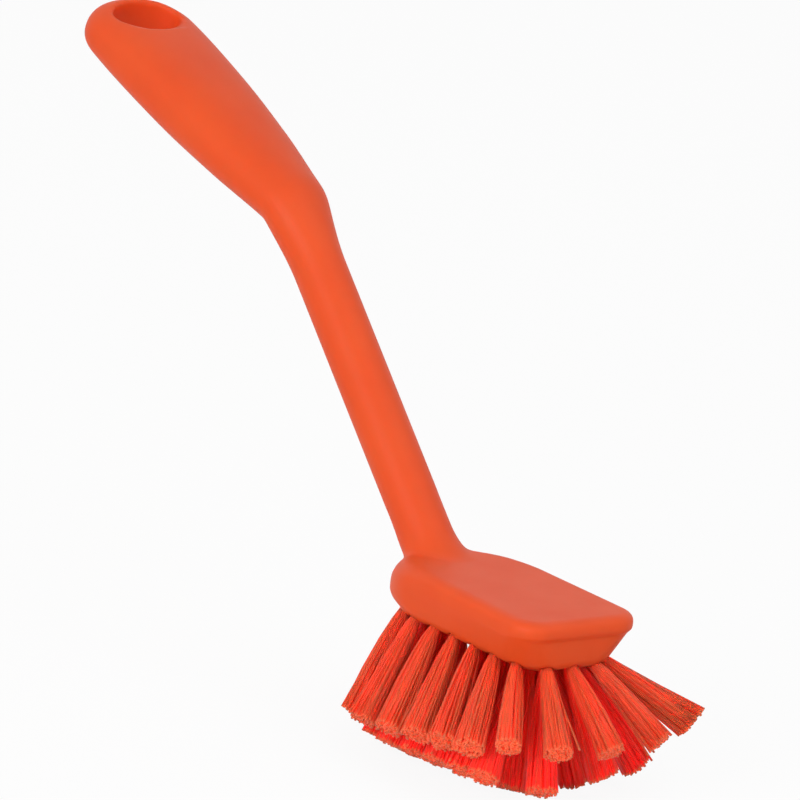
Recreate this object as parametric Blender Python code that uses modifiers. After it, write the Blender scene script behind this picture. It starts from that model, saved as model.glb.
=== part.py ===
"""Scrub brush with a scraping nose, in metres, +Z up.

One moulding is both handle and head. Its underside is drilled with blind holes in three
rings, and each hole holds a tuft of bristles, folded over a small steel anchor.
The origin is on the head's flat top face, +X points to the scraping nose, and the brush is
the same on both sides of Y = 0. The tufts fan out from the domed underside, which takes the
most skill to place: every hole, tuft and anchor follows one function, tuft_seats.
"""

import math

import bmesh
import bpy
from mathutils import Matrix, Vector

# Head
face_to_nose = 0.0340
nose_to_back = 0.0765
head_width = 0.0426
back_width = 0.0408
nose_corner_radius = 0.0088
nose_shoulder_radius = 0.0034
nose_shoulder_drop = 0.0024
back_shoulder_radius = 0.0094
back_shoulder_drop = 0.0074
face_to_shoulder_growth = 0.0110
shoulder_growth_length = 0.0250
shoulder_land = 0.0022
lip_reach = 0.0012
lip_slope = 0.0005
rim_depth = 0.0137
rim_nose_draft = 0.0006
rim_corner_draft = 0.0031
rim_back_draft = 0.0005
rim_corner_radius = 0.0128
rim_rounding = 0.0010
back_tuck = 0.0032
dome_drop = 0.0048
least_radius = 0.0004
head_ring_points = 72

# Neck
face_to_neck = 0.0388
neck_diameter = 0.0156
neck_length = 0.1137
neck_rise = math.radians(44.0)
neck_root_depth = 0.0070
neck_fillet_height = 0.0060
neck_side_fillet = 0.0012
neck_front_fillet = 0.0052
bend_radius = 0.0200
bend_steps = 5

# Grip, which the neck widens to before the bend
flare_length = 0.0233
flare_steps = 5
grip_length = 0.1018
grip_rise = math.radians(19.6)
grip_width = 0.0382
grip_thickness = 0.0202
grip_end_radius = 0.0149
grip_steps = 13
handle_ring_points = 28

# Hanging hole
hanging_hole_width = 0.0224
hanging_hole_length = 0.0150
hanging_hole_rim = 0.0030
hanging_hole_setback = 0.0135
hanging_hole_sides = 32
hanging_hole_rim_steps = 4

# Tufts
tuft_hole_wall = 0.0023
tuft_hole_depth = 0.0070
tuft_hole_sides = 10
tuft_clearance = 0.0003
outer_tuft_length = 0.0328
nose_tuft_trim = 0.0060
inner_tuft_length = 0.0354
tuft_tip_diameter = 0.0070
strands_across_tuft = 3
strand_gap = 0.0003
strand_tip_gap = 0.0008
stand_cut = 0.0005

# Anchors
anchor_count = 14
anchor_thickness = 0.0005
anchor_height = 0.0016

overrun = 0.0020
weld_distance = 0.00001

# Rings of tufts, outer, middle and inner: how far in they lie, as shares of the rim's narrowest
# half width, tufts on the whole ring, where it starts as a share of the way between two, and the
# tufts' lean in degrees: forward at the nose, sideways at the nose and at the back, and backward
# at the back.
ring_inset_shares = (0.143, 0.489, 0.835)
ring_counts = (20, 16, 9)
ring_starts_shares = (0.0, 0.5, 0.5)
ring_nose_leans = (50.0, 29.0, 13.0)
ring_nose_side_leans = (49.0, 37.0, 16.0)
ring_back_side_leans = (24.0, 17.0, 6.0)
ring_back_leans = (8.0, 4.0, 0.0)
nose_trim_sharpness = 4

# The grip from the flare's start to its tip, as shares of that length, of the width and of the
# thickness, and how square its section is. At the start it is as round as the neck.
grip_place_shares = (0.0, 0.186, 0.39, 0.593, 0.797, 1.0)
grip_width_shares = (neck_diameter / grip_width, 0.576, 0.768, 0.871, 0.96, 1.0)
grip_thickness_shares = (neck_diameter / grip_thickness, 0.81, 0.91, 1.0, 0.924, 0.674)
grip_squareness = (2.0, 2.0, 2.25, 2.4, 2.4, 2.4)
round_section = 2.0
neck_fillet_shares = (0.0, 0.12, 0.3, 0.6, 1.0)
neck_foot_gap_share = 0.25
end_turns = (20, 40, 57, 70, 80, 87)
shoulder_turns = (90, 68, 45, 22, 0)
wall_shares = (0.0, 0.4, 0.75, 1.0)
dome_inset_shares = (0.10, 0.25, 0.45, 0.70)


def clear_scene():
    for old in list(bpy.data.objects):
        bpy.data.objects.remove(old, do_unlink=True)


def new_collection(name):
    collection = bpy.data.collections.new(name)
    bpy.context.scene.collection.children.link(collection)
    return collection


def surface(name, colour, roughness, metallic=0.0):
    material = bpy.data.materials.new(name)
    material.use_nodes = True
    shader = material.node_tree.nodes["Principled BSDF"]
    shader.inputs["Base Color"].default_value = (*colour, 1.0)
    shader.inputs["Roughness"].default_value = roughness
    shader.inputs["Metallic"].default_value = metallic
    return material


def mesh_from(name, shape):
    mesh = bpy.data.meshes.new(name)
    shape.to_mesh(mesh)
    shape.free()
    return mesh


def add_object(name, mesh, collection, material=None):
    made = bpy.data.objects.new(name, mesh)
    collection.objects.link(made)
    if material:
        mesh.materials.append(material)
    return made


def as_cutter(cutter):
    cutter.hide_render = True
    cutter.display_type = "WIRE"
    return cutter


def cut(target, tool, operation):
    boolean = target.modifiers.new(tool.name, "BOOLEAN")
    boolean.operation = operation
    boolean.solver = "EXACT"
    boolean.object = tool


def loft(name, rings):
    """A closed skin over rings of as many points each, capped at both ends."""
    shape = bmesh.new()
    rows = [[shape.verts.new(point) for point in ring] for ring in rings]
    for upper, lower in zip(rows, rows[1:]):
        for i, corner in enumerate(upper):
            after = (i + 1) % len(upper)
            shape.faces.new((corner, lower[i], lower[after], upper[after]))
    shape.faces.new(rows[0])
    shape.faces.new(rows[-1][::-1])
    bmesh.ops.recalc_face_normals(shape, faces=shape.faces)
    mesh = mesh_from(name, shape)
    mesh.shade_smooth()
    return mesh


def mix(first, second, share):
    return first + (second - first) * share


def rounding(distance, radius):
    """How far a rounded end has opened, from 0 at its tip to 1 one radius on."""
    if distance >= radius:
        return 1.0
    return math.sqrt(1 - (1 - max(distance, 0) / radius) ** 2)


def outline_legs(lip, down, inset):
    """The head's outline from the nose's middle round the +Y side to the back's.

    It is set back by lip at the nose, drafted by a share of the way down to the rim, which has
    rounder corners and is tucked under at the back, and set in by inset all round.
    """
    nose = face_to_nose - lip - rim_nose_draft * down - inset
    half = head_width / 2 - rim_corner_draft * down - inset
    corner = max(mix(nose_corner_radius, rim_corner_radius, down) - inset, least_radius)
    back = back_width / 2 - rim_back_draft * down - inset
    tuck = back_tuck * (1 - math.sqrt(1 - down**2))
    back_centre = face_to_nose - nose_to_back + back_width / 2 + tuck
    return (
        (Vector((nose, 0)), Vector((nose, half - corner)), 0.0),
        (Vector((nose - corner, half - corner)), corner, 0.0),
        (Vector((nose - corner, half)), Vector((back_centre, back)), 0.0),
        (Vector((back_centre, 0)), back, math.pi / 2),
    )


def leg_length(leg):
    start, other, _ = leg
    return other * math.pi / 2 if isinstance(other, float) else (other - start).length


def outline_point(share, lip=0.0, down=0.0, inset=0.0):
    """The point and outward direction at a share of the outline: 0 at the nose, 1 or -1 at the back."""
    legs = outline_legs(lip, down, inset)
    left = abs(share) * sum(leg_length(leg) for leg in legs)
    for leg in legs:
        if left <= leg_length(leg) or leg is legs[-1]:
            break
        left -= leg_length(leg)
    start, other, turned = leg
    if isinstance(other, float):
        turn = turned + left / other
        outward = Vector((math.cos(turn), math.sin(turn)))
        point = start + other * outward
    else:
        along = (other - start).normalized()
        outward = Vector((along.y, -along.x))
        point = start + left * along
    if share < 0:
        point.y, outward.y = -point.y, -outward.y
    return point, outward


def rim_point(share, inset=0.0):
    """The same on the rim of the underside."""
    return outline_point(share, lip_reach, 1.0, inset)


def rim_half_width():
    """Half the rim's width where it is narrowest, which the dome and the rings of tufts go by."""
    return min(back_width / 2 - rim_back_draft, head_width / 2 - rim_corner_draft)


def ring_shares(count, start=0.0):
    """Shares evenly round the whole outline, from the nose by way of +Y."""
    turns = [2 * (i + start) / count for i in range(count)]
    return [turn if turn <= 1 else turn - 2 for turn in turns]


def shoulder(x):
    """The radius and the drop of the rounded top edge at x: small at the nose, large at the back."""
    share = (-face_to_shoulder_growth - x) / shoulder_growth_length
    share = min(max(share, 0), 1)
    share = share * share * (3 - 2 * share)
    radius = mix(nose_shoulder_radius, back_shoulder_radius, share)
    return radius, mix(nose_shoulder_drop, back_shoulder_drop, share)


def underside(inset):
    """The height of the domed underside at an inset from the rim."""
    share = min(inset / rim_half_width(), 1)
    return -rim_depth - dome_drop * (1 - (1 - share) ** 2)


def shoulder_rings(shares):
    """From the flat top's edge down the rounded shoulder to the lip's edge."""
    rings = []
    for turn in map(math.radians, shoulder_turns):
        ring = []
        for share in shares:
            point, outward = outline_point(share)
            radius, drop = shoulder(point.x)
            point -= outward * radius * (1 - math.cos(turn))
            ring.append((point.x, point.y, -drop * (1 - math.sin(turn))))
        rings.append(ring)
    edge = []
    for share in shares:
        point, _ = outline_point(share)
        edge.append((point.x, point.y, -shoulder(point.x)[1] - shoulder_land))
    return [*rings, edge]


def wall_rings(shares):
    """From under the lip down to the rim: drafted in all round and curving under at the back."""
    rings = []
    for wall_share in wall_shares:
        ring = []
        for share in shares:
            place, _ = outline_point(share)
            top = -shoulder(place.x)[1] - shoulder_land - lip_slope
            height = mix(top, -rim_depth + rim_rounding, wall_share)
            point, _ = outline_point(share, lip_reach, wall_share)
            ring.append((point.x, point.y, height))
        rings.append(ring)
    return rings


def dome_rings(shares):
    rings = []
    for inset_share in (0.0, *dome_inset_shares):
        inset = mix(rim_rounding, rim_half_width(), inset_share)
        points = [rim_point(share, inset)[0] for share in shares]
        rings.append([(point.x, point.y, underside(inset)) for point in points])
    return rings


def head_rings():
    shares = ring_shares(head_ring_points)
    return shoulder_rings(shares) + wall_rings(shares) + dome_rings(shares)


def bend_tangent():
    """How far the bend between neck and grip reaches along each of them."""
    return bend_radius * math.tan((neck_rise - grip_rise) / 2)


def spine(distance):
    """The handle's middle line: the point and the direction at a distance from the neck's root."""
    neck_way = Vector((-math.cos(neck_rise), 0, math.sin(neck_rise)))
    grip_way = Vector((-math.cos(grip_rise), 0, math.sin(grip_rise)))
    root = Vector((-face_to_neck, 0, 0))
    bend_start = neck_length - bend_tangent()
    bend_length = bend_radius * (neck_rise - grip_rise)
    if distance <= bend_start:
        return root + neck_way * distance, neck_way
    if distance >= bend_start + bend_length:
        rest = distance - bend_start - bend_length
        return root + neck_way * neck_length + grip_way * (bend_tangent() + rest), grip_way
    rise = neck_rise - (distance - bend_start) / bend_radius
    below = Vector((-math.sin(neck_rise), 0, -math.cos(neck_rise)))
    centre = root + neck_way * bend_start + below * bend_radius
    way = Vector((-math.cos(rise), 0, math.sin(rise)))
    return centre + Vector((math.sin(rise), 0, math.cos(rise))) * bend_radius, way


def handle_length():
    bend_length = bend_radius * (neck_rise - grip_rise)
    return neck_length + grip_length - 2 * bend_tangent() + bend_length


def smooth_curve(places, values, place):
    """The value at a place on a curve through all the values, with no overshoot between them."""
    rises = [(values[i + 1] - values[i]) / (places[i + 1] - places[i]) for i in range(len(values) - 1)]
    slopes = [0.0]
    for before, after in zip(rises, rises[1:]):
        slopes.append(2 * before * after / (before + after) if before * after > 0 else 0.0)
    slopes.append(rises[-1])
    i = max(k for k in range(len(rises)) if places[k] <= max(place, places[0]))
    step = places[i + 1] - places[i]
    t = (place - places[i]) / step
    start = values[i] * (1 - t) ** 2 * (1 + 2 * t) + slopes[i] * step * t * (1 - t) ** 2
    return start + values[i + 1] * t**2 * (3 - 2 * t) - slopes[i + 1] * step * t**2 * (1 - t)


def handle_size(distance):
    """The handle's half width, half thickness and squareness at a distance from the neck's root."""
    flare_start = neck_length - flare_length
    place = min(max((distance - flare_start) / (handle_length() - flare_start), 0), 1)
    half_width = smooth_curve(grip_place_shares, grip_width_shares, place) * grip_width / 2
    half_thickness = smooth_curve(grip_place_shares, grip_thickness_shares, place) * grip_thickness / 2
    left = handle_length() - distance
    return (
        half_width * rounding(left, grip_end_radius),
        half_thickness * rounding(left, half_thickness),
        smooth_curve(grip_place_shares, grip_squareness, place),
    )


def section(centre, normal, half_width, half_thickness, squareness):
    """A ring round the handle: an ellipse at squareness 2, flatter on top above that."""
    ring = []
    for i in range(handle_ring_points):
        turn = 2 * math.pi * i / handle_ring_points
        c, s = math.cos(turn), math.sin(turn)
        across = math.copysign(abs(c) ** (2 / squareness), c) * half_width
        up = math.copysign(abs(s) ** (2 / squareness), s) * half_thickness
        ring.append(centre + Vector((0, across, 0)) + normal * up)
    return ring


def handle_ring(distance):
    centre, way = spine(distance)
    return section(centre, Vector((way.z, 0, -way.x)), *handle_size(distance))


def foot_ring(height, widening):
    """A level section of the neck's foot, which widens to both sides and to the front."""
    front = neck_front_fillet * widening
    centre = spine(height / math.sin(neck_rise))[0] + Vector((front / 2, 0, 0))
    half_width = neck_diameter / 2 + neck_side_fillet * widening
    half_length = neck_diameter / 2 / math.sin(neck_rise) + front / 2
    return section(centre, Vector((1, 0, 0)), half_width, half_length, round_section)


def neck_rings():
    """The neck's foot: level sections through its fillet, then one square to its middle line."""
    rings = [foot_ring(-neck_root_depth, 1.0)]
    for share in neck_fillet_shares:
        rings.append(foot_ring(neck_fillet_height * share, 1 - math.sqrt(1 - (1 - share) ** 2)))
    clear = neck_fillet_height / math.sin(neck_rise) + neck_diameter / 2 / math.tan(neck_rise)
    rings.append(handle_ring(clear + neck_diameter * neck_foot_gap_share))
    return rings


def grip_rings():
    """From the neck's flare through the bend to the rounded tip."""
    flare_start = neck_length - flare_length
    bend_start = neck_length - bend_tangent()
    bend_end = bend_start + bend_radius * (neck_rise - grip_rise)
    end_start = handle_length() - grip_end_radius
    places = [mix(flare_start, bend_start, i / flare_steps) for i in range(flare_steps)]
    places += [mix(bend_start, bend_end, i / bend_steps) for i in range(bend_steps)]
    places += [mix(bend_end, end_start, i / grip_steps) for i in range(grip_steps + 1)]
    places += [end_start + grip_end_radius * math.sin(math.radians(turn)) for turn in end_turns]
    return [handle_ring(place) for place in places]


def hanging_hole(collection):
    """An oval hole through the grip's end, with a rolled rim on both faces."""
    wall = hanging_hole_length / 2
    distance = handle_length() - hanging_hole_setback
    face = handle_size(distance)[1]
    rim = hanging_hole_rim
    steps = hanging_hole_rim_steps
    profile = [(0, face + overrun), (wall + rim, face + overrun)]
    for i in range(steps, -1, -1):
        turn = math.pi / 2 * i / steps
        profile.append((wall + rim * (1 - math.cos(turn)), face - rim * (1 - math.sin(turn))))
    profile += [(x, -z) for x, z in profile[::-1]]
    shape = bmesh.new()
    points = [shape.verts.new((x, 0, z)) for x, z in profile]
    for first, second in zip(points, points[1:]):
        shape.edges.new((first, second))
    # Turned by half a side, so that no corner of the hole lies on the brush's middle plane.
    half_side = Matrix.Rotation(math.pi / hanging_hole_sides, 3, "Z")
    bmesh.ops.rotate(shape, verts=points, cent=(0, 0, 0), matrix=half_side)
    mesh = mesh_from("hanging_hole_cutter", shape)
    tool = as_cutter(add_object("hanging_hole_cutter", mesh, collection))
    screw = tool.modifiers.new("turn", "SCREW")
    screw.steps = screw.render_steps = hanging_hole_sides
    screw.use_merge_vertices = True
    screw.merge_threshold = weld_distance
    tool.scale.y = hanging_hole_width / hanging_hole_length
    tool.location = spine(distance)[0]
    tool.rotation_euler.y = grip_rise
    return tool


def tuft_hole_diameter():
    """What the rings' pitch leaves beside the wall between their holes."""
    outer, middle, _ = ring_inset_shares
    return (middle - outer) * rim_half_width() - tuft_hole_wall


def tuft_seats():
    """For each tuft its root on the underside, the way it points and its length."""
    seats = []
    leans = zip(ring_nose_leans, ring_nose_side_leans, ring_back_side_leans, ring_back_leans)
    rows = zip(ring_inset_shares, ring_counts, ring_starts_shares, leans)
    for ring, (inset_share, count, start, ring_leans) in enumerate(rows):
        inset = inset_share * rim_half_width()
        slopes = [math.tan(math.radians(lean)) for lean in ring_leans]
        nose_slope, nose_side_slope, back_side_slope, back_slope = slopes
        nose_x = rim_point(0, inset)[0].x
        back_x = rim_point(1, inset)[0].x
        half = head_width / 2 - rim_corner_draft - inset
        for share in ring_shares(count, start):
            point, outward = rim_point(share, inset)
            forward = (point.x - back_x) / (nose_x - back_x)
            slope_x = mix(-back_slope, nose_slope, forward)
            slope_y = mix(back_side_slope, nose_side_slope, forward) * point.y / half
            way = Vector((slope_x, slope_y, -1)).normalized()
            length = inner_tuft_length
            if ring == 0:
                trim = max(outward.x, 0) ** nose_trim_sharpness
                length = outer_tuft_length - nose_tuft_trim * trim
            seats.append((Vector((point.x, point.y, underside(inset))), way, length))
    return seats


def seat_matrix(root, way):
    """Turns a tuft's own Z to the way it points, with its X level along the head."""
    side = way.cross(Vector((1, 0, 0))).normalized()
    forward = side.cross(way)
    turned = Matrix((forward, side, way)).transposed()
    return Matrix.Translation(root) @ turned.to_4x4()


def tuft_holes(seats, collection):
    """One cutter with a blind hole for each tuft."""
    shape = bmesh.new()
    middle = Matrix.Translation((0, 0, (overrun - tuft_hole_depth) / 2))
    for root, way, _ in seats:
        bmesh.ops.create_cone(
            shape,
            cap_ends=True,
            segments=tuft_hole_sides,
            radius1=tuft_hole_diameter() / 2,
            radius2=tuft_hole_diameter() / 2,
            depth=tuft_hole_depth + overrun,
            matrix=seat_matrix(root, way) @ middle,
        )
    return as_cutter(add_object("tuft_hole_cutter", mesh_from("tuft_hole_cutter", shape), collection))


def tuft_shape(length):
    """A round plug that fits a hole, with nine strands that spread to the tuft's tip."""
    radius = tuft_hole_diameter() / 2 - tuft_clearance
    bottom = anchor_height + 2 * tuft_clearance - tuft_hole_depth
    spread = tuft_tip_diameter / 2 / radius
    shape = bmesh.new()
    grid = bmesh.ops.create_grid(
        shape, x_segments=strands_across_tuft, y_segments=strands_across_tuft, size=1
    )
    for vert in grid["verts"]:
        x, y = vert.co.x, vert.co.y
        vert.co.x = radius * x * math.sqrt(1 - y * y / 2)
        vert.co.y = radius * y * math.sqrt(1 - x * x / 2)
    top = shape.faces[:]
    rim = [edge for edge in shape.edges if edge.is_boundary]
    walls = bmesh.ops.extrude_edge_only(shape, edges=rim)["geom"]
    low = [item for item in walls if isinstance(item, bmesh.types.BMVert)]
    bmesh.ops.translate(shape, verts=low, vec=(0, 0, bottom))
    low_edges = [edge for edge in shape.edges if edge.is_boundary]
    bmesh.ops.edgeloop_fill(shape, edges=low_edges)
    bmesh.ops.inset_individual(shape, faces=top, thickness=strand_gap / 2, use_even_offset=True)
    strands = bmesh.ops.extrude_discrete_faces(shape, faces=top)["faces"]
    shrink = 1 - strand_tip_gap / tuft_hole_diameter()
    for face in strands:
        centre = face.calc_center_median()
        for vert in face.verts:
            vert.co = centre * spread + (vert.co - centre) * shrink
            vert.co.z = length
    bmesh.ops.recalc_face_normals(shape, faces=shape.faces)
    return shape


def lowest_tip(seats):
    low = 0.0
    for root, way, length in seats:
        shape = tuft_shape(length)
        matrix = seat_matrix(root, way)
        low = min(low, min((matrix @ vert.co).z for vert in shape.verts))
        shape.free()
    return low


def flatten_tips(shape, matrix, floor):
    """Moves each tip corner that hangs below the floor up along its strand."""
    down = matrix.to_3x3() @ Vector((0, 0, 1))
    for vert in shape.verts:
        place = matrix @ vert.co
        if place.z < floor:
            vert.co.z -= (place.z - floor) / down.z


def add_tufts(seats, collection):
    floor = lowest_tip(seats) + stand_cut
    for number, (root, way, length) in enumerate(seats, start=1):
        name = f"tuft_{number:02d}"
        matrix = seat_matrix(root, way)
        shape = tuft_shape(length)
        flatten_tips(shape, matrix, floor)
        red = surface(f"{name} polyester", (0.80, 0.13, 0.05), 0.5)
        add_object(name, mesh_from(name, shape), collection, red).matrix_world = matrix


def add_anchors(seats, collection):
    """Flat steel pieces across the bottoms of the outer ring's holes."""
    width = tuft_hole_diameter() - 2 * tuft_clearance
    middle = tuft_clearance + anchor_height / 2 - tuft_hole_depth
    for number, (root, way, _) in enumerate(seats[:anchor_count], start=1):
        name = f"anchor_{number:02d}"
        shape = bmesh.new()
        bmesh.ops.create_cube(shape, size=1)
        bmesh.ops.scale(shape, verts=shape.verts, vec=(width, anchor_thickness, anchor_height))
        bmesh.ops.translate(shape, verts=shape.verts, vec=(0, 0, middle))
        steel = surface(f"{name} stainless steel", (0.62, 0.62, 0.60), 0.35, 1.0)
        add_object(name, mesh_from(name, shape), collection, steel).matrix_world = seat_matrix(root, way)


def add_moulding(seats, collection, cutters):
    orange = surface("moulding polypropylene", (0.80, 0.12, 0.03), 0.4)
    moulding = add_object("handle_and_head", loft("handle_and_head", head_rings()), collection, orange)
    handle = loft("handle_joined", neck_rings() + grip_rings())
    cut(moulding, as_cutter(add_object("handle_joined", handle, cutters)), "UNION")
    cut(moulding, hanging_hole(cutters), "DIFFERENCE")
    cut(moulding, tuft_holes(seats, cutters), "DIFFERENCE")
    moulding.modifiers.new("weld", "WELD").merge_threshold = weld_distance


def main():
    clear_scene()
    parts = new_collection("scrub_brush")
    cutters = new_collection("cutters")
    seats = tuft_seats()
    add_moulding(seats, parts, cutters)
    add_tufts(seats, parts)
    add_anchors(seats, parts)


main()
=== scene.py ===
"""The looks of the scrub brush: a moulding with soft edges, and tufts made of single filaments.

Everything is in metres, in the frame of the CAD model: the origin is on the head's flat top,
+X points to the scraping nose, and the moulding is the same on both sides of Y = 0.
"""

import math
import random
from collections import namedtuple

import bmesh
import bpy
from mathutils import Matrix, Vector


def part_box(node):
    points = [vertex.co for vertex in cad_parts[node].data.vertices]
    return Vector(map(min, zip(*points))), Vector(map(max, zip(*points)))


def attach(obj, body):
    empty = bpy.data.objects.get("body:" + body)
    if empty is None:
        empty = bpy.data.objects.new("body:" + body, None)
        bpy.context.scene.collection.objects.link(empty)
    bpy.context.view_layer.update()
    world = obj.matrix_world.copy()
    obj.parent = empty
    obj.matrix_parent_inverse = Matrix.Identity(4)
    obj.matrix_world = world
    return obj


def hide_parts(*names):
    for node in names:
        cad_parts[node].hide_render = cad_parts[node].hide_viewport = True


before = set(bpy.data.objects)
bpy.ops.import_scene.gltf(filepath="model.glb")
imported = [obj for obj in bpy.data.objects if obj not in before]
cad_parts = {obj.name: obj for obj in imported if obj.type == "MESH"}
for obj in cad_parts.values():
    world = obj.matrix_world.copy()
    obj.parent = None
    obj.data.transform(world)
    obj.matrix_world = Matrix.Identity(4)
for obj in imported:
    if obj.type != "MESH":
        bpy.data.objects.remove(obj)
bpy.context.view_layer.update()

# Head, as in the CAD source
face_to_nose = 0.0340
nose_to_back = 0.0765
head_width = 0.0426
back_width = 0.0408
nose_corner_radius = 0.0088
nose_shoulder_radius = 0.0034
nose_shoulder_drop = 0.0024
back_shoulder_radius = 0.0094
back_shoulder_drop = 0.0074
face_to_shoulder_growth = 0.0110
shoulder_growth_length = 0.0250
shoulder_land = 0.0022
lip_reach = 0.0012
lip_slope = 0.0005
rim_depth = 0.0137
rim_nose_draft = 0.0006
rim_corner_draft = 0.0031
rim_back_draft = 0.0005
rim_corner_radius = 0.0128
rim_rounding = 0.0010
back_tuck = 0.0032
dome_drop = 0.0048
least_radius = 0.0004

# Neck and grip, as in the CAD source
face_to_neck = 0.0388
neck_diameter = 0.0156
neck_length = 0.1137
neck_rise = math.radians(44.0)
neck_root_depth = 0.0070
neck_fillet_height = 0.0060
neck_side_fillet = 0.0012
neck_front_fillet = 0.0052
neck_foot_gap_share = 0.25
flare_length = 0.0233
grip_length = 0.1018
grip_rise = math.radians(19.6)
grip_width = 0.0382
grip_thickness = 0.0202
grip_end_radius = 0.0149
hanging_hole_width = 0.0224
hanging_hole_length = 0.0150
hanging_hole_rim = 0.0030
hanging_hole_setback = 0.0135

# The bend is tighter than in the CAD source, where it is rounded off: the photo shows the end of
# the grip's top as a soft edge.
bend_radius = 0.0125

# The grip from the flare's start to its tip: shares of that length, of the width and of the
# thickness, and how square its section is
grip_place_shares = (0.0, 0.186, 0.39, 0.593, 0.797, 1.0)
grip_width_shares = (neck_diameter / grip_width, 0.576, 0.768, 0.871, 0.96, 1.0)
grip_thickness_shares = (neck_diameter / grip_thickness, 0.81, 0.91, 1.0, 0.924, 0.674)
grip_squareness = (2.0, 2.0, 2.25, 2.4, 2.4, 2.4)

# Tufts, as in the CAD source
tuft_hole_wall = 0.0023
tuft_hole_depth = 0.0070
outer_tuft_length = 0.0328
nose_tuft_trim = 0.0060
inner_tuft_length = 0.0354
tuft_clearance = 0.0003
anchor_height = 0.0016
ring_inset_shares = (0.143, 0.489, 0.835)
ring_counts = (20, 16, 9)
ring_starts_shares = (0.0, 0.5, 0.5)
ring_nose_leans = (50.0, 29.0, 13.0)
ring_nose_side_leans = (49.0, 37.0, 16.0)
ring_back_side_leans = (24.0, 17.0, 6.0)
ring_back_leans = (8.0, 4.0, 0.0)
nose_trim_sharpness = 4

# Filaments. A real one is crimped, so a tuft is as full at its tip as in its hole: here each
# filament is drawn straight and grows thicker towards its tip instead.
filament_root_diameter = 0.00030
filament_tip_diameter = 0.00072
outer_filaments = 130
inner_filaments = 180
outer_flare_diameter = 0.0082
inner_flare_diameter = 0.0096
plain_opening = 0.72
filament_sides = 5
filament_stations = (0.0, 0.12, 0.32, 0.62, 1.0)
golden_turn = math.pi * (3 - math.sqrt(5))

# The tufts along the near side have spread into one another from their holes on.
spread_tufts = range(13, 19)
spread_flare_diameter = 0.0093
spread_opening = 0.58

# How single filaments differ: how much shorter or longer than their tuft they are cut, how far
# the tips of most and of a few wild ones wander, how far they bow, and their tone from 0 to 1
cut_short = 0.0007
cut_long = 0.0004
tip_wander = 0.00022
wild_wander = 0.0012
wild_share = 0.05
filament_bow = 0.0002
outer_shades = (0.6, 1.0)
# The inner tufts take the low tones, a bright crimson: painted glow of the light passed deep among
# the tufts
inner_painted_glow_tones = (0.0, 0.4)

# How late along a filament its wandering and its tuft's sway set in; 1 would be a straight line
wander_growth = 1.5
sway_growth = 1.3

# How far a tuft's tip has been pushed from its straight line, along X, Y and Z
tuft_sways = {
    1: (0.0007, 0.0006, -0.0007),
    2: (0.0009, -0.0003, -0.0005),
    3: (0.0003, 0.0010, 0.0026),
    4: (0.0110, 0.0004, 0.0060),
    12: (0.0004, 0.0005, 0.0001),
    13: (0.0004, 0.0005, 0.0001),
    19: (0.0010, 0.0023, 0.0027),
    20: (0.0013, 0.0015, -0.0003),
    21: (-0.0029, -0.0033, 0.0010),
    22: (-0.0006, -0.0006, -0.0024),
    23: (0.0030, 0.0030, 0.0010),
    36: (0.0005, 0.0003, 0.0000),
    37: (0.0004, 0.0000, -0.0010),
    45: (0.0016, 0.0016, 0.0000),
}

# The steel strips in the holes keep the CAD model's own meshes.
anchor_count = 14

# Fineness: points round each section, sections along each stretch, and sides of each cutter
head_points = 240
handle_points = 84
shoulder_sections = 12
land_sections = 2
wall_sections = 12
dome_sections = 9
foot_sections = 9
foot_crowding = 1.5
handle_stretches = 120
end_sections = 24
last_end_turn = math.radians(88)
core_rim_steps = 10
core_sides = 64
drill_sides = 24
overrun = 0.0020
weld_distance = 0.00001

# The moulding's final skin, and how often it is smoothed all over and at the neck's foot
skin_pitch = 0.00062
skin_smoothings = 3
foot_smoothings = 12
smoothing_share = 0.5
foot_smoothing_reach = neck_diameter * 1.05

# Patterns in the materials: the cloudy flow in the plastic, its grain, the lines on a filament
# and on rolled steel, how much of their own pitch is kept along the rolling direction, and where
# along a filament its cut end begins and is full
flow_size = 0.018
drawn_grain_size = 0.0005
grain_height = 0.00004
drawn_die_line_spacing = 0.0003
rolling_line_spacing = 0.0001
along_rolling = 0.05
cut_end_start = 0.975
cut_end_full = 0.995

# Floor and room: half the floor's width, how nearly white the camera sees it, and the room's light
floor_reach = 6.0
floor_whiteness = 0.92
room_strength = 0.50

# Each soft box: how far across, up and back from the brush it stands, its size and its power
soft_boxes = {
    "key": ((-0.95, 0.45, 1.75), 1.0, 18.8),
    "fill": ((1.0, 1.0, 0.9), 1.4, 7.0),
}

# The photograph's camera, and the pixel of the picture at which the nose's top edge lies. The
# sensor's width is in millimetres.
camera_azimuth = math.radians(50.75)
camera_elevation = math.radians(14.97)
camera_roll = math.radians(7.36)
camera_distance = 2.0
camera_reach = 20.0
pixels_per_metre = 3600.0
picture_width = 800
nose_pixel = (580.9, 618.1)
sensor_width_mm = 36

Filament = namedtuple("Filament", "place end stray bow turn tone")


def colour(code):
    """An sRGB hex value as linear red, green, blue and alpha."""
    shares = [int(code[i : i + 2], 16) / 255 for i in (1, 3, 5)]
    return (*(s / 12.92 if s <= 0.04045 else ((s + 0.055) / 1.055) ** 2.4 for s in shares), 1.0)


def add_node(tree, kind, inputs=None, **settings):
    """A node with its settings; each input is a value, or the output that links to it."""
    node = tree.nodes.new(kind)
    for name, value in settings.items():
        setattr(node, name, value)
    for name, value in (inputs or {}).items():
        if isinstance(value, bpy.types.NodeSocket):
            tree.links.new(value, node.inputs[name])
        else:
            node.inputs[name].default_value = value
    return node


def new_material(name):
    """A material with its node tree and its main shader."""
    material = bpy.data.materials.new(name)
    material.use_nodes = True
    tree = material.node_tree
    return material, tree, tree.nodes["Principled BSDF"]


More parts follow.
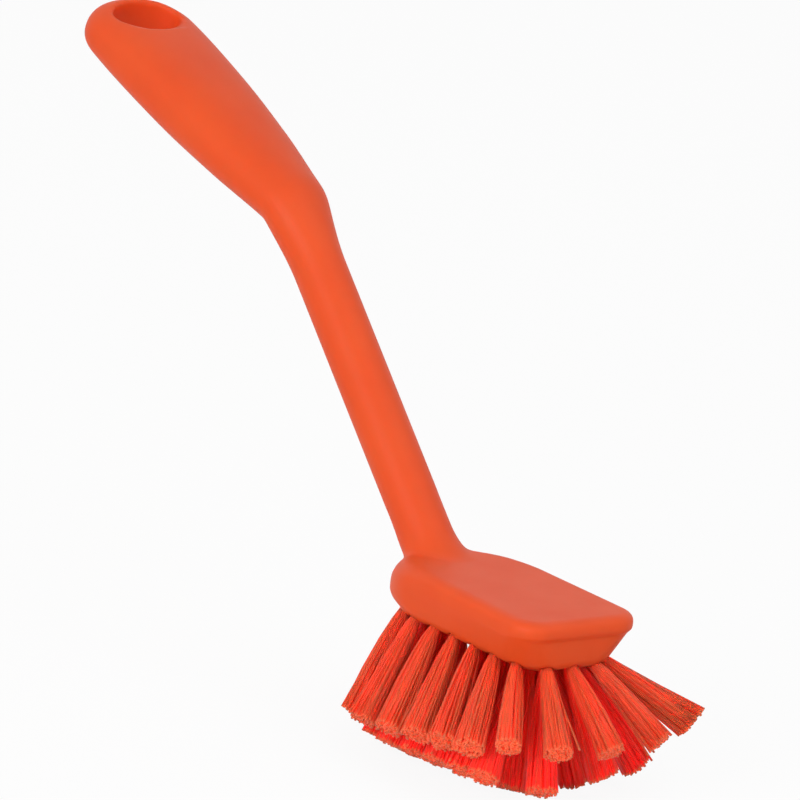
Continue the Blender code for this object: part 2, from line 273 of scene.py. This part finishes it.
def moulded_polypropylene():
    """Polypropylene coloured through and moulded in a finely eroded tool.

    It is satin: broad soft highlights, paler where it is seen at a low angle, a grain that only
    breaks them up, and faint cloudy flow where the melt cooled at different rates.
    """
    material, tree, shader = new_material("moulded polypropylene")
    place = add_node(tree, "ShaderNodeTexCoord").outputs["Object"]
    flow = add_node(
        tree, "ShaderNodeTexNoise", {"Vector": place, "Scale": 1 / flow_size, "Detail": 3.0}
    )
    tint = add_node(
        tree,
        "ShaderNodeMix",
        {"Factor": flow.outputs["Fac"], "A": colour("#EC5621"), "B": colour("#E64C1D")},
        data_type="RGBA",
    )
    # The tool's grain is about 0.05 mm, too fine to show, so it is drawn ten times as coarse.
    grain = add_node(
        tree, "ShaderNodeTexNoise", {"Vector": place, "Scale": 1 / drawn_grain_size, "Detail": 2.0}
    )
    dull = add_node(
        tree,
        "ShaderNodeMapRange",
        {"Value": flow.outputs["Fac"], "To Min": 0.46, "To Max": 0.56},
    )
    bump = add_node(
        tree,
        "ShaderNodeBump",
        {"Height": grain.outputs["Fac"], "Strength": 0.12, "Distance": grain_height},
    )
    tree.links.new(tint.outputs["Result"], shader.inputs["Base Color"])
    tree.links.new(dull.outputs["Result"], shader.inputs["Roughness"])
    tree.links.new(bump.outputs["Normal"], shader.inputs["Normal"])
    shader.inputs["IOR"].default_value = 1.49
    shader.inputs["Specular IOR Level"].default_value = 0.24
    shader.subsurface_method = "BURLEY"
    shader.inputs["Subsurface Weight"].default_value = 0.7
    shader.inputs["Subsurface Radius"].default_value = (0.0050, 0.0008, 0.0004)
    shader.inputs["Subsurface Scale"].default_value = 1.0
    return material


def cut_polyester_filament():
    """Drawn polyester filament, cut in a bundle.

    Smooth and a little translucent along its length, so it catches thin streaks of light and
    glows red between the tufts, a glow also painted into the inner tufts as a brighter crimson;
    its cut end is rough and paler.
    """
    material, tree, shader = new_material("cut polyester filament")
    shade = add_node(tree, "ShaderNodeAttribute", attribute_name="shade").outputs["Fac"]
    along = add_node(tree, "ShaderNodeAttribute", attribute_name="along").outputs["Fac"]
    place = add_node(tree, "ShaderNodeTexCoord").outputs["Object"]
    # Low tones are a bright crimson, the painted glow that the inner tufts take; high tones are
    # the outer tufts' orange
    body = add_node(
        tree,
        "ShaderNodeMix",
        {"Factor": shade, "A": colour("#FF2C2A"), "B": colour("#CA5532")},
        data_type="RGBA",
    )
    end = add_node(
        tree,
        "ShaderNodeMapRange",
        {"Value": along, "From Min": cut_end_start, "From Max": cut_end_full},
    )
    whole = add_node(
        tree,
        "ShaderNodeMix",
        {
            "Factor": end.outputs["Result"],
            "A": body.outputs["Result"],
            "B": colour("#DC6C48"),
        },
        data_type="RGBA",
    )
    # Die lines run along a filament a few hundredths of a millimetre apart; drawn at 0.3 mm.
    streak = add_node(
        tree,
        "ShaderNodeTexNoise",
        {"Vector": place, "Scale": 1 / drawn_die_line_spacing, "Detail": 1.0},
    )
    dull = add_node(
        tree,
        "ShaderNodeMapRange",
        {"Value": streak.outputs["Fac"], "To Min": 0.30, "To Max": 0.48},
    )
    tree.links.new(whole.outputs["Result"], shader.inputs["Base Color"])
    tree.links.new(dull.outputs["Result"], shader.inputs["Roughness"])
    shader.inputs["IOR"].default_value = 1.57
    shader.inputs["Specular IOR Level"].default_value = 0.14
    shader.subsurface_method = "BURLEY"
    shader.inputs["Subsurface Weight"].default_value = 0.75
    shader.inputs["Subsurface Radius"].default_value = (0.0040, 0.0008, 0.0004)
    shader.inputs["Subsurface Scale"].default_value = 1.0
    return material


def stainless_steel_strip():
    """Rolled strip, cut into anchors: grey, with fine lines along the rolling direction."""
    material, tree, shader = new_material("stainless steel strip")
    place = add_node(tree, "ShaderNodeTexCoord").outputs["Object"]
    stretched = add_node(
        tree, "ShaderNodeMapping", {"Vector": place, "Scale": (along_rolling, 1.0, 1.0)}
    )
    # Rolling lines lie about 0.1 mm apart.
    lines = add_node(
        tree,
        "ShaderNodeTexNoise",
        {
            "Vector": stretched.outputs["Vector"],
            "Scale": 1 / rolling_line_spacing,
            "Detail": 2.0,
        },
    )
    dull = add_node(
        tree,
        "ShaderNodeMapRange",
        {"Value": lines.outputs["Fac"], "To Min": 0.25, "To Max": 0.45},
    )
    tree.links.new(dull.outputs["Result"], shader.inputs["Roughness"])
    shader.inputs["Base Color"].default_value = colour("#C9C8C4")
    shader.inputs["Metallic"].default_value = 1.0
    return material


def mix(first, second, share):
    """The value at a share of the way from the first to the second."""
    return first + (second - first) * share


def rounding(distance, radius):
    """How far a rounded end has opened, from 0 at its tip to 1 one radius on."""
    if distance >= radius:
        return 1.0
    return math.sqrt(1 - (1 - max(distance, 0) / radius) ** 2)


def outline_legs(lip, down, inset):
    """The head's outline from the nose's middle round the +Y side to the back's.

    It is set back by lip at the nose, drafted by a share of the way down to the rim, and set in
    by inset all round.
    """
    nose = face_to_nose - lip - rim_nose_draft * down - inset
    half = head_width / 2 - rim_corner_draft * down - inset
    corner = max(mix(nose_corner_radius, rim_corner_radius, down) - inset, least_radius)
    back = back_width / 2 - rim_back_draft * down - inset
    tuck = back_tuck * (1 - math.sqrt(1 - down**2))
    back_centre = face_to_nose - nose_to_back + back_width / 2 + tuck
    return (
        (Vector((nose, 0)), Vector((nose, half - corner)), 0.0),
        (Vector((nose - corner, half - corner)), corner, 0.0),
        (Vector((nose - corner, half)), Vector((back_centre, back)), 0.0),
        (Vector((back_centre, 0)), back, math.pi / 2),
    )


def leg_length(leg):
    """The length of one leg of the outline, straight or a quarter of a circle."""
    start, other, _ = leg
    return other * math.pi / 2 if isinstance(other, float) else (other - start).length


def outline_point(share, lip=0.0, down=0.0, inset=0.0):
    """The point and outward direction at a share of the outline.

    The share is 0 at the nose, and 1 or -1 at the back.
    """
    legs = outline_legs(lip, down, inset)
    left = abs(share) * sum(leg_length(leg) for leg in legs)
    for leg in legs:
        if left <= leg_length(leg) or leg is legs[-1]:
            break
        left -= leg_length(leg)
    start, other, turned = leg
    if isinstance(other, float):
        turn = turned + left / other
        outward = Vector((math.cos(turn), math.sin(turn)))
        point = start + other * outward
    else:
        along = (other - start).normalized()
        outward = Vector((along.y, -along.x))
        point = start + left * along
    if share < 0:
        point.y, outward.y = -point.y, -outward.y
    return point, outward


def rim_point(share, inset=0.0):
    """The same on the rim, at the bottom of the head's wall."""
    return outline_point(share, lip_reach, 1.0, inset)


def rim_half_width():
    """Half the rim's width where it is narrowest, which the dome and the rings of tufts go by."""
    return min(back_width / 2 - rim_back_draft, head_width / 2 - rim_corner_draft)


def ring_shares(count, start=0.0):
    """Shares evenly round the whole outline, from the nose by way of +Y."""
    turns = [2 * (i + start) / count for i in range(count)]
    return [turn if turn <= 1 else turn - 2 for turn in turns]


def shoulder(x):
    """The radius and the drop of the rounded top edge at x."""
    share = min(max((-face_to_shoulder_growth - x) / shoulder_growth_length, 0), 1)
    share = share * share * (3 - 2 * share)
    radius = mix(nose_shoulder_radius, back_shoulder_radius, share)
    return radius, mix(nose_shoulder_drop, back_shoulder_drop, share)


def underside(inset):
    """The height of the domed underside at a distance in from the rim."""
    share = min(inset / rim_half_width(), 1)
    return -rim_depth - dome_drop * (1 - (1 - share) ** 2)


def head_sections():
    """The head's outline at each height, from the flat top down to the domed underside."""
    shares = ring_shares(head_points)
    sections = []
    for i in range(shoulder_sections + 1):
        turn = math.pi / 2 * (1 - i / shoulder_sections)
        section = []
        for share in shares:
            point, outward = outline_point(share)
            radius, drop = shoulder(point.x)
            point -= outward * radius * (1 - math.cos(turn))
            section.append(Vector((point.x, point.y, -drop * (1 - math.sin(turn)))))
        sections.append(section)
    for i in range(1, land_sections + 1):
        section = []
        for share in shares:
            point, _ = outline_point(share)
            height = -shoulder(point.x)[1] - shoulder_land * i / land_sections
            section.append(Vector((point.x, point.y, height)))
        sections.append(section)
    for i in range(wall_sections + 1):
        down = i / wall_sections
        section = []
        for share in shares:
            top = -shoulder(outline_point(share)[0].x)[1] - shoulder_land - lip_slope
            height = mix(top, -rim_depth + rim_rounding, down)
            point, _ = outline_point(share, lip_reach, down)
            section.append(Vector((point.x, point.y, height)))
        sections.append(section)
    for i in range(dome_sections):
        inset = mix(rim_rounding, rim_half_width(), i / dome_sections)
        points = [rim_point(share, inset)[0] for share in shares]
        sections.append([Vector((point.x, point.y, underside(inset))) for point in points])
    return sections


def bend_tangent():
    """How far the bend between neck and grip reaches along each of them."""
    return bend_radius * math.tan((neck_rise - grip_rise) / 2)


def spine(distance):
    """The handle's middle line: the point and the direction at a distance from the neck's root."""
    neck_way = Vector((-math.cos(neck_rise), 0, math.sin(neck_rise)))
    grip_way = Vector((-math.cos(grip_rise), 0, math.sin(grip_rise)))
    root = Vector((-face_to_neck, 0, 0))
    bend_start = neck_length - bend_tangent()
    bend_length = bend_radius * (neck_rise - grip_rise)
    if distance <= bend_start:
        return root + neck_way * distance, neck_way
    if distance >= bend_start + bend_length:
        rest = distance - bend_start - bend_length
        return root + neck_way * neck_length + grip_way * (bend_tangent() + rest), grip_way
    rise = neck_rise - (distance - bend_start) / bend_radius
    below = Vector((-math.sin(neck_rise), 0, -math.cos(neck_rise)))
    centre = root + neck_way * bend_start + below * bend_radius
    way = Vector((-math.cos(rise), 0, math.sin(rise)))
    return centre + Vector((math.sin(rise), 0, math.cos(rise))) * bend_radius, way


def handle_length():
    """The length of the handle's middle line, from the neck's root to the grip's tip."""
    bend_length = bend_radius * (neck_rise - grip_rise)
    return neck_length + grip_length - 2 * bend_tangent() + bend_length


def loop_round(centre, normal, half_width, half_thickness, squareness):
    """A closed section of the handle: an ellipse at squareness 2, flatter above that."""
    loop = []
    for i in range(handle_points):
        turn = 2 * math.pi * i / handle_points
        c, s = math.cos(turn), math.sin(turn)
        across = math.copysign(abs(c) ** (2 / squareness), c) * half_width
        up = math.copysign(abs(s) ** (2 / squareness), s) * half_thickness
        loop.append(centre + Vector((0, across, 0)) + normal * up)
    return loop


def square_loop(distance):
    """A section of the handle square to its middle line."""
    centre, way = spine(distance)
    return loop_round(centre, Vector((way.z, 0, -way.x)), *handle_size(distance))


def foot_loop(height, widening):
    """A level section of the neck's foot, which widens to both sides and to the front."""
    front = neck_front_fillet * widening
    centre = spine(height / math.sin(neck_rise))[0] + Vector((front / 2, 0, 0))
    half_width = neck_diameter / 2 + neck_side_fillet * widening
    half_length = neck_diameter / 2 / math.sin(neck_rise) + front / 2
    return loop_round(centre, Vector((1, 0, 0)), half_width, half_length, 2.0)


def smooth_curve(places, values, place):
    """The value at a place on a curve through all the values, with no overshoot between them."""
    steps = [after - before for before, after in zip(places, places[1:])]
    rises = [(values[i + 1] - values[i]) / step for i, step in enumerate(steps)]
    slopes = [0.0]
    for before, after in zip(rises, rises[1:]):
        slopes.append(2 * before * after / (before + after) if before * after > 0 else 0.0)
    slopes.append(rises[-1])
    i = max(k for k in range(len(rises)) if places[k] <= max(place, places[0]))
    step = steps[i]
    t = (place - places[i]) / step
    start = values[i] * (1 - t) ** 2 * (1 + 2 * t) + slopes[i] * step * t * (1 - t) ** 2
    return start + values[i + 1] * t**2 * (3 - 2 * t) - slopes[i + 1] * step * t**2 * (1 - t)


def handle_size(distance):
    """The handle's half width, half thickness and squareness at a distance from its root."""
    flare_start = neck_length - flare_length
    place = min(max((distance - flare_start) / (handle_length() - flare_start), 0), 1)
    width_share = smooth_curve(grip_place_shares, grip_width_shares, place)
    thickness_share = smooth_curve(grip_place_shares, grip_thickness_shares, place)
    half_width = width_share * grip_width / 2
    half_thickness = thickness_share * grip_thickness / 2
    left = handle_length() - distance
    return (
        half_width * rounding(left, grip_end_radius),
        half_thickness * rounding(left, half_thickness),
        smooth_curve(grip_place_shares, grip_squareness, place),
    )


def handle_sections():
    """The handle from inside the head up to the tip of the grip."""
    sections = [foot_loop(-neck_root_depth, 1.0)]
    for i in range(foot_sections + 1):
        share = (i / foot_sections) ** foot_crowding
        widening = 1 - math.sqrt(1 - (1 - share) ** 2)
        sections.append(foot_loop(neck_fillet_height * share, widening))
    clear = neck_fillet_height / math.sin(neck_rise) + neck_diameter / 2 / math.tan(neck_rise)
    clear += neck_diameter * neck_foot_gap_share
    end_start = handle_length() - grip_end_radius
    for i in range(handle_stretches):
        sections.append(square_loop(mix(clear, end_start, i / handle_stretches)))
    for i in range(end_sections):
        turn = last_end_turn * i / (end_sections - 1)
        sections.append(square_loop(end_start + grip_end_radius * math.sin(turn)))
    return sections


def skin_over(sections):
    """A closed skin: a loop of edges pulled from section to section, capped at both ends."""
    shape = bmesh.new()
    step = shape.verts.layers.int.new("step")
    loop = bmesh.ops.create_circle(shape, segments=len(sections[0]), radius=1)["verts"]
    for i, vert in enumerate(loop):
        vert[step] = i
        vert.co = sections[0][i]
    first = edges = shape.edges[:]
    for section in sections[1:]:
        made = bmesh.ops.extrude_edge_only(shape, edges=edges)["geom"]
        for vert in made:
            if isinstance(vert, bmesh.types.BMVert):
                vert.co = section[vert[step]]
        edges = [
            item for item in made if isinstance(item, bmesh.types.BMEdge) and item.is_boundary
        ]
    bmesh.ops.edgeloop_fill(shape, edges=first)
    bmesh.ops.edgeloop_fill(shape, edges=edges)
    bmesh.ops.recalc_face_normals(shape, faces=shape.faces)
    return shape


def hanging_hole_core():
    """The core that leaves the oval hanging hole, with a rolled rim on both faces."""
    distance = handle_length() - hanging_hole_setback
    wall, face, rim = hanging_hole_length / 2, handle_size(distance)[1], hanging_hole_rim
    half = [(0, face + overrun), (wall + rim, face + overrun)]
    for i in range(core_rim_steps, -1, -1):
        turn = math.pi / 2 * i / core_rim_steps
        half.append((wall + rim * (1 - math.cos(turn)), face - rim * (1 - math.sin(turn))))
    shape = bmesh.new()
    points = [shape.verts.new((x, 0, z)) for x, z in half + [(x, -z) for x, z in half[::-1]]]
    edges = [shape.edges.new(pair) for pair in zip(points, points[1:])]
    bmesh.ops.spin(
        shape,
        geom=points + edges,
        cent=(0, 0, 0),
        axis=(0, 0, 1),
        angle=2 * math.pi,
        steps=core_sides,
        use_merge=True,
    )
    bmesh.ops.remove_doubles(shape, verts=shape.verts, dist=weld_distance)
    bmesh.ops.recalc_face_normals(shape, faces=shape.faces)
    centre = spine(distance)[0]
    oval = Matrix.Diagonal((1, hanging_hole_width / hanging_hole_length, 1, 1))
    turned = Matrix.Rotation(grip_rise, 4, "Y")
    seat = Matrix.Translation(centre) @ turned @ oval
    bmesh.ops.transform(shape, verts=shape.verts, matrix=seat)
    return shape


def tuft_hole_diameter():
    """What the rings' pitch leaves beside the wall between their holes."""
    outer, middle, _ = ring_inset_shares
    return (middle - outer) * rim_half_width() - tuft_hole_wall


def tuft_seats():
    """For each tuft its root on the underside, the way it points and its length."""
    seats = []
    leans = zip(ring_nose_leans, ring_nose_side_leans, ring_back_side_leans, ring_back_leans)
    rows = zip(ring_inset_shares, ring_counts, ring_starts_shares, leans)
    for ring, (inset_share, count, start, ring_leans) in enumerate(rows):
        inset = inset_share * rim_half_width()
        slopes = [math.tan(math.radians(lean)) for lean in ring_leans]
        nose_slope, nose_side_slope, back_side_slope, back_slope = slopes
        nose_x = rim_point(0, inset)[0].x
        back_x = rim_point(1, inset)[0].x
        half = head_width / 2 - rim_corner_draft - inset
        for share in ring_shares(count, start):
            point, outward = rim_point(share, inset)
            forward = (point.x - back_x) / (nose_x - back_x)
            slope_x = mix(-back_slope, nose_slope, forward)
            slope_y = mix(back_side_slope, nose_side_slope, forward) * point.y / half
            way = Vector((slope_x, slope_y, -1)).normalized()
            length = inner_tuft_length
            if ring == 0:
                trim = max(outward.x, 0) ** nose_trim_sharpness
                length = outer_tuft_length - nose_tuft_trim * trim
            seats.append((Vector((point.x, point.y, underside(inset))), way, length))
    return seats


def seat_matrix(root, way):
    """Turns a tuft's own Z to the way it points, with its X level along the head."""
    side = way.cross(Vector((1, 0, 0))).normalized()
    turned = Matrix((side.cross(way), side, way)).transposed()
    return Matrix.Translation(root) @ turned.to_4x4()


def tuft_drills(seats):
    """All the drills that leave the blind holes for the tufts."""
    shape = bmesh.new()
    middle = Matrix.Translation((0, 0, (overrun - tuft_hole_depth) / 2))
    for root, way, _ in seats:
        bmesh.ops.create_cone(
            shape,
            cap_ends=True,
            segments=drill_sides,
            radius1=tuft_hole_diameter() / 2,
            radius2=tuft_hole_diameter() / 2,
            depth=tuft_hole_depth + overrun,
            matrix=seat_matrix(root, way) @ middle,
        )
    return shape


def as_object(name, shape):
    """The shape as a named object in the scene."""
    mesh = bpy.data.meshes.new(name)
    shape.to_mesh(mesh)
    shape.free()
    made = bpy.data.objects.new(name, mesh)
    bpy.context.scene.collection.objects.link(made)
    return made


def as_seen(piece):
    """The piece's mesh with its modifiers applied."""
    settled = piece.evaluated_get(bpy.context.evaluated_depsgraph_get())
    return bpy.data.meshes.new_from_object(settled)


def soften(shape, verts, times):
    """Evens out the steps of the skin."""
    for _ in range(times):
        bmesh.ops.smooth_vert(
            shape,
            verts=verts,
            factor=smoothing_share,
            use_axis_x=True,
            use_axis_y=True,
            use_axis_z=True,
        )


def near_neck_foot(point):
    """Whether a point of the skin is where the neck runs into the head."""
    foot = Vector((-face_to_neck, 0, 0))
    return (point - foot).length < foot_smoothing_reach and point.z > -back_shoulder_drop


def moulding(seats, plastic):
    """Head and handle in one shot, drilled, with every edge softened as a mould leaves it."""
    piece = as_object("moulding", skin_over(head_sections()))
    tools = [
        (as_object("handle_blank", skin_over(handle_sections())), "UNION"),
        (as_object("hanging_hole_core", hanging_hole_core()), "DIFFERENCE"),
        (as_object("tuft_drills", tuft_drills(seats)), "DIFFERENCE"),
    ]
    for tool, operation in tools:
        boolean = piece.modifiers.new(tool.name, "BOOLEAN")
        boolean.operation = operation
        boolean.solver = "EXACT"
        boolean.object = tool
    skin = piece.modifiers.new("skin", "REMESH")
    skin.mode = "VOXEL"
    skin.voxel_size = skin_pitch
    mesh = as_seen(piece)
    piece.modifiers.clear()
    for tool, _ in tools:
        bpy.data.objects.remove(tool)
    shape = bmesh.new()
    shape.from_mesh(mesh)
    soften(shape, shape.verts, skin_smoothings)
    soften(shape, [vert for vert in shape.verts if near_neck_foot(vert.co)], foot_smoothings)
    shape.to_mesh(mesh)
    shape.free()
    piece.data = mesh
    mesh.materials.clear()
    mesh.materials.append(plastic)
    mesh.shade_smooth()
    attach(piece, "root")
    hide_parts("handle_and_head")
    return piece


def thickness(station):
    """A filament's thickness at a share of its length."""
    return mix(filament_root_diameter, filament_tip_diameter, station**plain_opening)


def planned_filaments(number, length, packed):
    """The filaments of one tuft, packed in its hole in a spiral, each with its own chances."""
    chance = random.Random(number)
    outer = number <= ring_counts[0]
    count = outer_filaments if outer else inner_filaments
    # The inner tufts draw their tones from the range of painted glow
    shades = outer_shades if outer else inner_painted_glow_tones
    plans = []
    for i in range(count):
        radius = packed * math.sqrt((i + 0.5) / count)
        turn = golden_turn * i + number
        place = Vector((radius * math.cos(turn), radius * math.sin(turn), 0))
        end = length + chance.uniform(-cut_short, cut_long)
        wander = wild_wander if chance.random() < wild_share else tip_wander
        stray = Vector((chance.gauss(0, wander), chance.gauss(0, wander), 0))
        bow = Vector((chance.gauss(0, filament_bow), chance.gauss(0, filament_bow), 0))
        own_turn = chance.uniform(0, 1)
        plans.append(Filament(place, end, stray, bow, own_turn, chance.uniform(*shades)))
    return plans


def tuft(number, root, way, length, floor, filament):
    """One tuft: filaments packed in its hole, spreading to its tip, each with its own tone, a
    painted glow in the inner tufts.
    """
    matrix = seat_matrix(root, way)
    packed = (tuft_hole_diameter() - filament_root_diameter) / 2 - tuft_clearance
    flare = outer_flare_diameter if number <= ring_counts[0] else inner_flare_diameter
    opening = plain_opening
    if number in spread_tufts:
        flare, opening = spread_flare_diameter, spread_opening
    spread = (flare - filament_tip_diameter) / 2 / packed
    sway = matrix.to_3x3().transposed() @ Vector(tuft_sways.get(number, (0, 0, 0)))
    plans = planned_filaments(number, length, packed)
    shape = bmesh.new()
    which = shape.verts.layers.int.new("which")
    # Each filament's tone, which in the inner tufts is a painted glow
    shade = shape.verts.layers.float.new("shade")
    along = shape.verts.layers.float.new("along")
    for i, plan in enumerate(plans):
        made = bmesh.ops.create_circle(
            shape,
            cap_ends=True,
            segments=filament_sides,
            radius=filament_root_diameter / 2,
            matrix=Matrix.Translation(plan.place) @ Matrix.Rotation(plan.turn, 4, "Z"),
        )["verts"]
        for vert in made:
            vert[which] = i
            vert[shade] = plan.tone
    for vert in shape.verts:
        vert.co.z = anchor_height - tuft_hole_depth
    faces = shape.faces[:]
    before = 0.0
    for station in filament_stations:
        swell = thickness(station) / thickness(before)
        before = station
        faces = bmesh.ops.extrude_discrete_faces(shape, faces=faces)["faces"]
        for face in faces:
            plan = plans[face.verts[0][which]]
            centre = face.calc_center_median()
            target = plan.place * mix(1, spread, station**opening)
            target += plan.stray * station**wander_growth
            target += sway * station**sway_growth
            target += plan.bow * math.sin(math.pi * station)
            target.z = (plan.end + sway.z) * station
            for vert in face.verts:
                vert.co = (vert.co - centre) * swell + target
                vert[along] = station
    bmesh.ops.holes_fill(shape, edges=[edge for edge in shape.edges if edge.is_boundary])
    for vert in shape.verts:
        height = (matrix @ vert.co).z
        if height < floor:
            vert.co.z -= (height - floor) / way.z
    bmesh.ops.transform(shape, verts=shape.verts, matrix=matrix)
    bmesh.ops.recalc_face_normals(shape, faces=shape.faces)
    piece = as_object(f"filaments_{number:02d}", shape)
    piece.data.materials.append(filament)
    piece.data.shade_smooth()
    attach(piece, "root")
    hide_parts(f"tuft_{number:02d}")
    return piece


def plain_rays(tree, *kinds):
    """1 for each kind of ray that is to meet plain white, and 0 for the others."""
    path = add_node(tree, "ShaderNodeLightPath")
    seen = path.outputs[kinds[0]]
    for kind in kinds[1:]:
        both = {0: seen, 1: path.outputs[kind]}
        seen = add_node(tree, "ShaderNodeMath", both, operation="MAXIMUM").outputs[0]
    return seen


def pale_floor(height):
    """A wide plain floor that shows white to the camera and keeps a soft shadow."""
    shape = bmesh.new()
    bmesh.ops.create_grid(shape, x_segments=1, y_segments=1, size=floor_reach)
    bmesh.ops.translate(shape, verts=shape.verts, vec=(0, 0, height))
    floor = as_object("floor", shape)
    material = bpy.data.materials.new("matt white floor")
    material.use_nodes = True
    tree = material.node_tree
    tree.nodes.clear()
    seen = plain_rays(tree, "Is Camera Ray", "Is Glossy Ray")
    share = add_node(tree, "ShaderNodeMath", {0: seen, 1: floor_whiteness}, operation="MULTIPLY")
    matt = add_node(tree, "ShaderNodeBsdfDiffuse", {"Color": colour("#F6F6F6")})
    white = add_node(tree, "ShaderNodeEmission", {"Color": colour("#FFFFFF"), "Strength": 1.0})
    blend = add_node(
        tree, "ShaderNodeMixShader", {0: share.outputs[0], 1: matt.outputs[0], 2: white.outputs[0]}
    )
    add_node(tree, "ShaderNodeOutputMaterial", {"Surface": blend.outputs[0]})
    floor.data.materials.append(material)


def studio_world():
    """An even pale room, white where the camera or a gloss sees it."""
    world = bpy.data.worlds.new("studio")
    bpy.context.scene.world = world
    world.use_nodes = True
    tree = world.node_tree
    tree.nodes.clear()
    seen = plain_rays(tree, "Is Camera Ray", "Is Glossy Ray", "Is Transmission Ray")
    pale = colour("#FFFFFF")
    room = add_node(tree, "ShaderNodeBackground", {"Color": pale, "Strength": room_strength})
    white = add_node(tree, "ShaderNodeBackground", {"Color": pale, "Strength": 1.0})
    blend = add_node(
        tree, "ShaderNodeMixShader", {0: seen, 1: room.outputs[0], 2: white.outputs[0]}
    )
    add_node(tree, "ShaderNodeOutputWorld", {"Surface": blend.outputs[0]})


def soft_box(name, place, target, size, power):
    """A square lamp that faces the target and that the camera doesn't see."""
    light = bpy.data.lights.new(name, "AREA")
    light.shape = "SQUARE"
    light.size = size
    light.energy = power
    lamp = bpy.data.objects.new(name, light)
    bpy.context.scene.collection.objects.link(lamp)
    lamp.location = place
    lamp.rotation_euler = (target - place).to_track_quat("-Z", "Y").to_euler()
    lamp.visible_camera = False


def photo_camera():
    """The camera of the photograph; gives the point it looks at and its three directions."""
    back = Vector(
        (
            math.sin(camera_azimuth) * math.cos(camera_elevation),
            -math.cos(camera_azimuth) * math.cos(camera_elevation),
            math.sin(camera_elevation),
        )
    )
    right = Vector((math.cos(camera_azimuth), math.sin(camera_azimuth), 0))
    up = back.cross(right)
    across = right * math.cos(camera_roll) + up * math.sin(camera_roll)
    upward = up * math.cos(camera_roll) - right * math.sin(camera_roll)
    nose = Vector((face_to_nose - nose_shoulder_radius, 0, 0))
    right_of_middle, below_middle = (
        (pixel - picture_width / 2) / pixels_per_metre for pixel in nose_pixel
    )
    centre = nose - across * right_of_middle + upward * below_middle
    camera = bpy.data.cameras.new("camera")
    camera.sensor_width = sensor_width_mm
    camera.lens = pixels_per_metre * camera_distance / picture_width * sensor_width_mm
    camera.clip_end = camera_reach
    stand = bpy.data.objects.new("camera", camera)
    bpy.context.scene.collection.objects.link(stand)
    matrix = Matrix((across, upward, back)).transposed().to_4x4()
    matrix.translation = centre + back * camera_distance
    stand.matrix_world = matrix
    bpy.context.scene.camera = stand
    return centre, across, upward, back


def main():
    """The brush piece by piece, then the floor, the room, the camera and the lamps."""
    bpy.context.scene.view_settings.view_transform = "Standard"
    seats = tuft_seats()
    floor = min(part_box(f"tuft_{i:02d}")[0].z for i in range(1, len(seats) + 1))
    moulding(seats, moulded_polypropylene())
    filament = cut_polyester_filament()
    for number, (root, way, length) in enumerate(seats, start=1):
        tuft(number, root, way, length, floor, filament)
    steel = stainless_steel_strip()
    for number in range(1, anchor_count + 1):
        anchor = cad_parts[f"anchor_{number:02d}"]
        anchor.data.materials.clear()
        anchor.data.materials.append(steel)
    pale_floor(floor)
    studio_world()
    centre, across, upward, back = photo_camera()
    for name, (offset, size, power) in soft_boxes.items():
        place = centre + across * offset[0] + upward * offset[1] + back * offset[2]
        soft_box(name, place, centre, size, power)


main()
